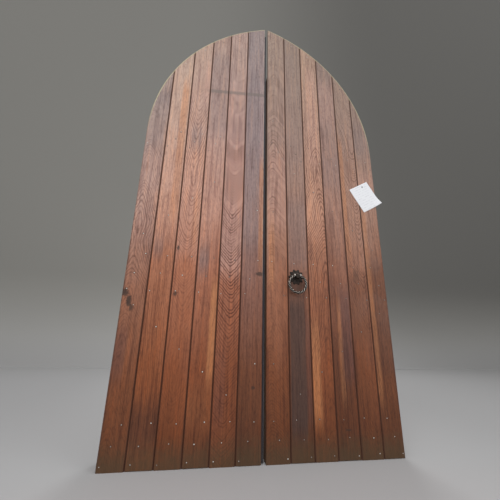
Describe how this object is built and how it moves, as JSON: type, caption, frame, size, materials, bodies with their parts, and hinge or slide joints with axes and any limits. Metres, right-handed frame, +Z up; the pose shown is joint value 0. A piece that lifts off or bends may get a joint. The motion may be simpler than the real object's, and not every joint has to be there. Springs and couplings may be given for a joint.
{
  "type": "arched wooden door",
  "caption": "Pointed-arch boarded wooden door, parted down the middle, ledged and braced behind, on hook-and-band hinges, with twisted ring handle, sliding latch and tower bolts.",
  "frame": {"origin": "bottom edge of the boards, in the middle of the gap between the leaves and of the leaf thickness", "axes": "+X to the right seen from the ring side, +Y into the doorway away from the ring, +Z up"},
  "size_m": [1.5625, 0.1669, 2.8536],
  "materials": {
    "board_wood": "worn stain over open grain",
    "frame_wood": "dull stain, sawn back",
    "strip_wood": "dark paint",
    "forged_iron": "black, hammered",
    "ring_iron": "worn black, bare edges",
    "tag_paper": "matt",
    "tack_steel": "plain"
  },
  "bodies": {
    "hooks": {"left_bottom_pintle": "forged_iron", "left_upper_pintle": "forged_iron", "right_bottom_pintle": "forged_iron", "right_upper_pintle": "forged_iron"},
    "left_leaf": {"left_board_1": "board_wood", "left_board_2": "board_wood", "left_board_3": "board_wood", "left_board_4": "board_wood", "left_board_5": "board_wood", "left_board_6": "board_wood", "left_bottom_ledge": "frame_wood", "left_middle_ledge": "frame_wood", "left_upper_ledge": "frame_wood", "left_meeting_stile": "frame_wood", "left_head_rib": "frame_wood", "left_lower_brace": "frame_wood", "left_upper_brace": "frame_wood", "left_bottom_band": "forged_iron", "left_upper_band": "forged_iron", "left_band_spikes": "forged_iron", "left_closing_strip": "strip_wood", "left_latch_keeper": "forged_iron", "left_lower_bolt_plate": "forged_iron", "left_upper_bolt_plates": "forged_iron"},
    "right_leaf": {"right_board_1": "board_wood", "right_board_2": "board_wood", "right_board_3": "board_wood", "right_board_4": "board_wood", "right_board_5": "board_wood", "right_board_6": "board_wood", "right_bottom_ledge": "frame_wood", "right_middle_ledge": "frame_wood", "right_upper_ledge": "frame_wood", "right_meeting_stile": "frame_wood", "right_head_rib": "frame_wood", "right_lower_brace": "frame_wood", "right_upper_brace": "frame_wood", "right_bottom_band": "forged_iron", "right_upper_band": "forged_iron", "right_band_spikes": "forged_iron", "handle_rose": "ring_iron", "lock_plate": "forged_iron", "paper_tag": "tag_paper", "tag_tack": "tack_steel"},
    "handle": {"ring_boss": "ring_iron", "handle_spindle": "forged_iron", "latch_crank": "forged_iron", "spindle_nut": "forged_iron"},
    "ring": {"twisted_ring": "ring_iron"},
    "latch": {"latch_bar": "forged_iron"},
    "lower_bolt": {"left_lower_bolt_rod": "forged_iron"},
    "upper_bolt": {"left_upper_bolt_rod": "forged_iron"}
  },
  "joints": [
    {"name": "left_leaf_hinge", "type": "hinge", "parent": "hooks", "child": "left_leaf", "pos_m": [-0.748, 0.0476, 0], "axis": [0, 0, 1], "range_deg": [0, 90]},
    {"name": "right_leaf_hinge", "type": "hinge", "parent": "hooks", "child": "right_leaf", "pos_m": [0.748, 0.0476, 0], "axis": [0, 0, -1], "range_deg": [0, 90]},
    {"name": "handle_turn", "type": "hinge", "parent": "right_leaf", "child": "handle", "pos_m": [0.1875, 0, 0.928], "axis": [0, -1, 0], "range_deg": [0, 76]},
    {"name": "ring_lift", "type": "hinge", "parent": "handle", "child": "ring", "pos_m": [0.1875, -0.0595, 0.934], "axis": [-1, 0, 0], "range_deg": [-8, 140]},
    {"name": "latch_slide", "type": "slide", "parent": "right_leaf", "child": "latch", "axis": [-1, 0, 0], "range_m": [0, 0.0407]},
    {"name": "lower_bolt_slide", "type": "slide", "parent": "left_leaf", "child": "lower_bolt", "axis": [0, 0, -1], "range_m": [0, 0.04]},
    {"name": "upper_bolt_slide", "type": "slide", "parent": "left_leaf", "child": "upper_bolt", "axis": [0, 0, 1], "range_m": [0, 0.045]}
  ],
  "couplings": [
    {"joint": "latch_slide", "follows": "handle_turn", "m_per_rad": 0.03063}
  ]
}
